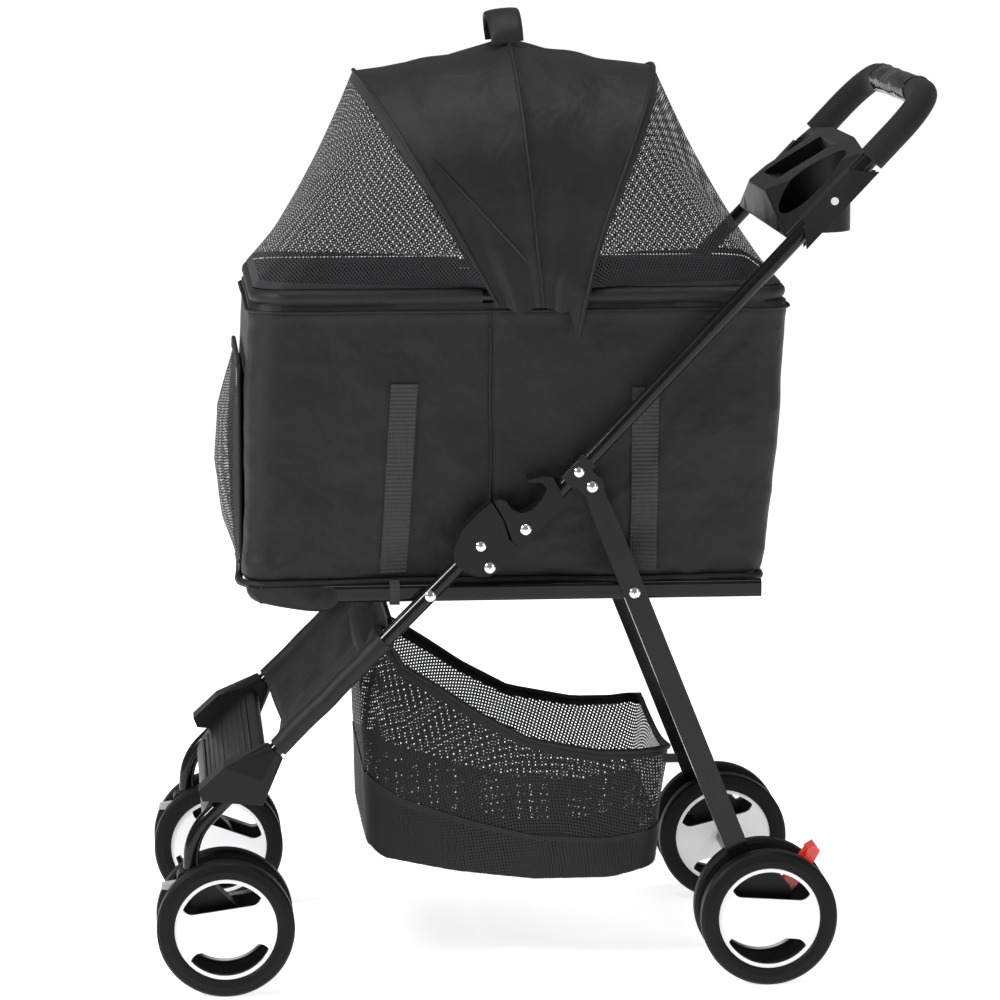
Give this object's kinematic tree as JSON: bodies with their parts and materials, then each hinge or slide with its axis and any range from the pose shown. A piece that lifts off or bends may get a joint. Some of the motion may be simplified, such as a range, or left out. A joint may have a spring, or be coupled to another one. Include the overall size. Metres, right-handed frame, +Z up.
{
  "type": "pet stroller",
  "caption": "Folding pet stroller with an enclosed mesh-topped cabin, swivel front casters, under-seat basket and a push handle with a tray.",
  "frame": {"origin": "on the floor, midway between the wheels' outer faces and midway between the front tip of the front wheels and the rear of the push handle", "axes": "+Z up, -Y towards the front casters, +Y towards the push handle, +X towards the stroller's left side"},
  "size_m": [0.438, 0.8, 0.9888],
  "materials": {
    "frame_black": "gloss black enamel",
    "rivet_silver": "bright domed rivets",
    "cloth_black": "woven cloth",
    "mesh_black": "open knit mesh",
    "mat_grey": "padded mat",
    "plastic_black": "fine grain",
    "foam_black": "matt foam",
    "vinyl_black": "glossy vinyl",
    "axle_steel": "bright",
    "pedal_red": "gloss red",
    "lever_grey": "satin grey",
    "tyre_black": "solid foam tyre",
    "cover_white": "gloss white",
    "hoop_black": "satin black wire"
  },
  "bodies": {
    "seat_frame": {"seat_rail_left": "frame_black", "seat_rail_right": "frame_black", "seat_cross_tubes": "frame_black", "frame_rivets": "rivet_silver", "front_wrap": "cloth_black", "basket": "cloth_black", "basket_straps": "cloth_black"},
    "front_legs": {"front_tube_left": "frame_black", "front_tube_right": "frame_black", "footrest": "plastic_black", "tube_cover_left": "plastic_black", "tube_cover_right": "plastic_black", "leg_panel": "cloth_black", "fold_housings": "plastic_black", "housing_rivets": "rivet_silver"},
    "handle": {"push_handle": "frame_black", "grip_left": "foam_black", "grip_right": "foam_black", "grip_wrap": "vinyl_black", "parent_tray": "plastic_black", "handle_rivets": "rivet_silver", "leg_brackets": "frame_black"},
    "latch_left": {"latch_left": "plastic_black", "latch_pin_left": "rivet_silver"},
    "latch_right": {"latch_right": "plastic_black", "latch_pin_right": "rivet_silver"},
    "rear_legs": {"rear_leg_left": "frame_black", "rear_leg_right": "frame_black", "rear_cross_tube": "frame_black", "axle_blocks": "plastic_black", "rear_axle": "axle_steel"},
    "brake": {"brake_pedal": "pedal_red"},
    "caster_left": {"caster_fork_left": "plastic_black", "caster_axle_left": "axle_steel"},
    "caster_right": {"caster_fork_right": "plastic_black", "caster_axle_right": "axle_steel"},
    "swivel_lock_left": {"swivel_lock_left": "lever_grey"},
    "swivel_lock_right": {"swivel_lock_right": "lever_grey"},
    "front_wheels_left": {"wheels_front_left": "tyre_black", "covers_front_left": "cover_white"},
    "front_wheels_right": {"wheels_front_right": "tyre_black", "covers_front_right": "cover_white"},
    "rear_wheels_left": {"wheels_rear_left": "tyre_black", "covers_rear_left": "cover_white"},
    "rear_wheels_right": {"wheels_rear_right": "tyre_black", "covers_rear_right": "cover_white"},
    "cabin": {"cabin_body": "cloth_black", "cabin_mat": "mat_grey", "rim_frame": "hoop_black", "side_straps": "cloth_black", "zip_pull": "lever_grey", "rear_hoop": "hoop_black", "rear_mesh": "mesh_black"},
    "front_door": {"front_door": "cloth_black"},
    "mid_hoop": {"mid_hoop": "hoop_black", "carry_handle": "cloth_black", "canopy_rear": "cloth_black"},
    "front_hoop": {"front_hoop": "hoop_black", "canopy_front": "cloth_black", "front_mesh": "mesh_black"}
  },
  "joints": [
    {"name": "fold", "type": "hinge", "parent": "seat_frame", "child": "front_legs", "pos_m": [0, -0.12, 0.405], "axis": [1, 0, 0], "range_deg": [0, 90], "deforming": ["basket", "basket_straps"]},
    {"name": "handle_fold", "type": "hinge", "parent": "front_legs", "child": "handle", "pos_m": [0, -0.06, 0.434], "axis": [1, 0, 0], "range_deg": [-135, 0]},
    {"name": "rear_fold", "type": "hinge", "parent": "seat_frame", "child": "rear_legs", "pos_m": [0, 0.088, 0.405], "axis": [1, 0, 0], "range_deg": [0, 45]},
    {"name": "latch_slide_left", "type": "slide", "parent": "handle", "child": "latch_left", "axis": [0, 0.6858, 0.7278], "range_m": [0, 0.007], "stiffness_N_per_m": 400, "springref_m": -0.01},
    {"name": "latch_slide_right", "type": "slide", "parent": "handle", "child": "latch_right", "axis": [0, 0.6858, 0.7278], "range_m": [0, 0.007], "stiffness_N_per_m": 400, "springref_m": -0.01},
    {"name": "caster_swivel_left", "type": "hinge", "parent": "front_legs", "child": "caster_left", "pos_m": [0.18, -0.364, 0.13], "axis": [0, 0, 1], "continuous": true},
    {"name": "swivel_lock_tip_left", "type": "hinge", "parent": "caster_left", "child": "swivel_lock_left", "pos_m": [0.18, -0.376, 0.108], "axis": [1, 0, 0], "range_deg": [-25, 0]},
    {"name": "front_wheel_spin_left", "type": "hinge", "parent": "caster_left", "child": "front_wheels_left", "pos_m": [0.18, -0.33, 0.07], "axis": [1, 0, 0], "continuous": true},
    {"name": "rear_wheel_spin_left", "type": "hinge", "parent": "rear_legs", "child": "rear_wheels_left", "pos_m": [0.18, 0.225, 0.07], "axis": [1, 0, 0], "continuous": true},
    {"name": "caster_swivel_right", "type": "hinge", "parent": "front_legs", "child": "caster_right", "pos_m": [-0.18, -0.364, 0.13], "axis": [0, 0, 1], "continuous": true},
    {"name": "swivel_lock_tip_right", "type": "hinge", "parent": "caster_right", "child": "swivel_lock_right", "pos_m": [-0.18, -0.376, 0.108], "axis": [1, 0, 0], "range_deg": [-25, 0]},
    {"name": "front_wheel_spin_right", "type": "hinge", "parent": "caster_right", "child": "front_wheels_right", "pos_m": [-0.18, -0.33, 0.07], "axis": [1, 0, 0], "continuous": true},
    {"name": "rear_wheel_spin_right", "type": "hinge", "parent": "rear_legs", "child": "rear_wheels_right", "pos_m": [-0.18, 0.225, 0.07], "axis": [1, 0, 0], "continuous": true},
    {"name": "brake_press", "type": "hinge", "parent": "rear_legs", "child": "brake", "pos_m": [0.18, 0.243, 0.094], "axis": [1, 0, 0], "range_deg": [-20, 0]},
    {"name": "cabin_lift", "type": "slide", "parent": "seat_frame", "child": "cabin", "axis": [0, -0.6, 0.8], "range_m": [0, 0.25]},
    {"name": "door_open", "type": "hinge", "parent": "cabin", "child": "front_door", "pos_m": [0, -0.3064, 0.4222], "axis": [1, 0, 0], "range_deg": [0, 100]},
    {"name": "canopy_fold", "type": "hinge", "parent": "cabin", "child": "mid_hoop", "pos_m": [0, -0.002, 0.722], "axis": [1, 0, 0], "range_deg": [-28, 0], "deforming": ["canopy_rear"]},
    {"name": "canopy_front_fold", "type": "hinge", "parent": "mid_hoop", "child": "front_hoop", "pos_m": [0, -0.002, 0.722], "axis": [1, 0, 0], "range_deg": [-28, 0], "deforming": ["canopy_front", "front_mesh"]}
  ],
  "couplings": [
    {"joint": "handle_fold", "follows": "fold", "ratio": -1.4488},
    {"joint": "rear_fold", "follows": "fold", "ratio": 0.45471},
    {"joint": "canopy_front_fold", "follows": "canopy_fold", "ratio": 1}
  ]
}
